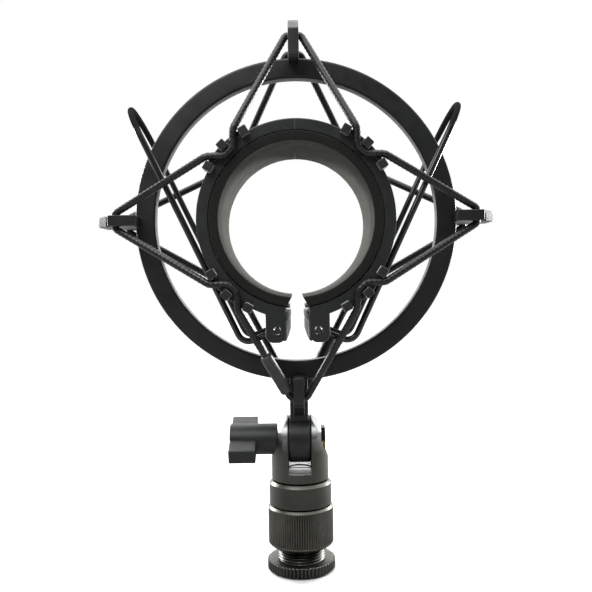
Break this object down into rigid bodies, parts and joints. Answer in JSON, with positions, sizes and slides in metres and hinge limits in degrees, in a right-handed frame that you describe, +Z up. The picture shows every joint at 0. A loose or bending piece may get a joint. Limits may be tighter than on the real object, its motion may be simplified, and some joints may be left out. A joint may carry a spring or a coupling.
{
  "type": "microphone shock mount",
  "caption": "Elastic suspension mount for a large microphone: hooked outer ring, corded spring cradle with squeeze handles, tilting swivel stand base.",
  "frame": {"origin": "centre of the bottom face of the stand thread adapter", "axes": "+Z up along the stand, +Y along the microphone axis towards the rear, +X to the right seen from the front"},
  "size_m": [0.1276, 0.044, 0.179],
  "materials": {
    "base_metal": "satin black anodised and painted metal, worn bright on edges",
    "black_plastic": "moulded black plastic with a fine satin texture",
    "foam": "soft closed-cell foam, matt",
    "cord": "braided elastic cord",
    "joiner": "matt heat-shrink tube",
    "black_wire": "gloss black coated spring wire",
    "spring_steel": "plain steel",
    "brass": "bare brass",
    "nylon": "natural nylon"
  },
  "bodies": {
    "base": {"thread_adapter": "base_metal"},
    "collar": {"swivel_collar": "base_metal", "sleeve_clip": "spring_steel", "swivel_washer": "nylon", "swivel_screw": "spring_steel"},
    "sleeve": {"knurled_sleeve": "base_metal"},
    "yoke": {"yoke": "base_metal", "pivot_nut": "brass"},
    "knob": {"wing_knob": "black_plastic", "clamp_screw": "spring_steel"},
    "ring": {"outer_ring": "black_plastic"},
    "cradle": {"clamp_spring": "spring_steel", "front_cord": "cord", "rear_cord": "cord", "front_cord_joiner": "joiner", "rear_cord_joiner": "joiner"},
    "jaw_left": {"cradle_shell_left": "black_plastic", "foam_liner_left": "foam"},
    "jaw_right": {"cradle_shell_right": "black_plastic", "foam_liner_right": "foam"},
    "handle_left": {"wire_handle_left": "black_wire"},
    "handle_right": {"wire_handle_right": "black_wire"}
  },
  "joints": [
    {"name": "thread_travel", "type": "slide", "parent": "base", "child": "collar", "axis": [0, 0, 1], "range_m": [-0.0047, 0.00282]},
    {"name": "sleeve_turn", "type": "hinge", "parent": "collar", "child": "sleeve", "pos_m": [0, 0, 0.0146], "axis": [0, 0, 1], "range_deg": [-1800, 1080]},
    {"name": "pan", "type": "hinge", "parent": "collar", "child": "yoke", "pos_m": [0, 0, 0.0297], "axis": [0, 0, 1], "continuous": true},
    {"name": "knob_turn", "type": "hinge", "parent": "yoke", "child": "knob", "pos_m": [-0.015, 0, 0.0429], "axis": [1, 0, 0], "continuous": true},
    {"name": "head_tilt", "type": "hinge", "parent": "yoke", "child": "ring", "pos_m": [0, 0, 0.0429], "axis": [1, 0, 0], "range_deg": [-90, 90]},
    {"name": "suspension", "type": "slide", "parent": "ring", "child": "cradle", "axis": [0, 0, 1], "range_m": [-0.003, 0.003], "stiffness_N_per_m": 600, "deforming": ["front_cord", "rear_cord"]},
    {"name": "jaw_open", "type": "hinge", "parent": "cradle", "child": "jaw_left", "pos_m": [0, 0, 0.14505], "axis": [0, 1, 0], "range_deg": [0, 4], "stiffness_Nm_per_rad": 2, "deforming": ["clamp_spring"]},
    {"name": "jaw_open_right", "type": "hinge", "parent": "cradle", "child": "jaw_right", "pos_m": [0, 0, 0.14505], "axis": [0, 1, 0], "range_deg": [-4, 0]},
    {"name": "handle_squeeze_left", "type": "hinge", "parent": "jaw_left", "child": "handle_left", "pos_m": [-0.0063, 0, 0.0802], "axis": [0, 1, 0], "range_deg": [0, 0.4]},
    {"name": "handle_squeeze_right", "type": "hinge", "parent": "jaw_right", "child": "handle_right", "pos_m": [0.0063, 0, 0.0802], "axis": [0, 1, 0], "range_deg": [-0.4, 0]}
  ],
  "couplings": [
    {"joint": "sleeve_turn", "follows": "thread_travel", "rad_per_m": 6679},
    {"joint": "jaw_open_right", "follows": "jaw_open", "ratio": -1},
    {"joint": "handle_squeeze_left", "follows": "jaw_open", "ratio": 0.1},
    {"joint": "handle_squeeze_right", "follows": "jaw_open", "ratio": -0.1}
  ]
}
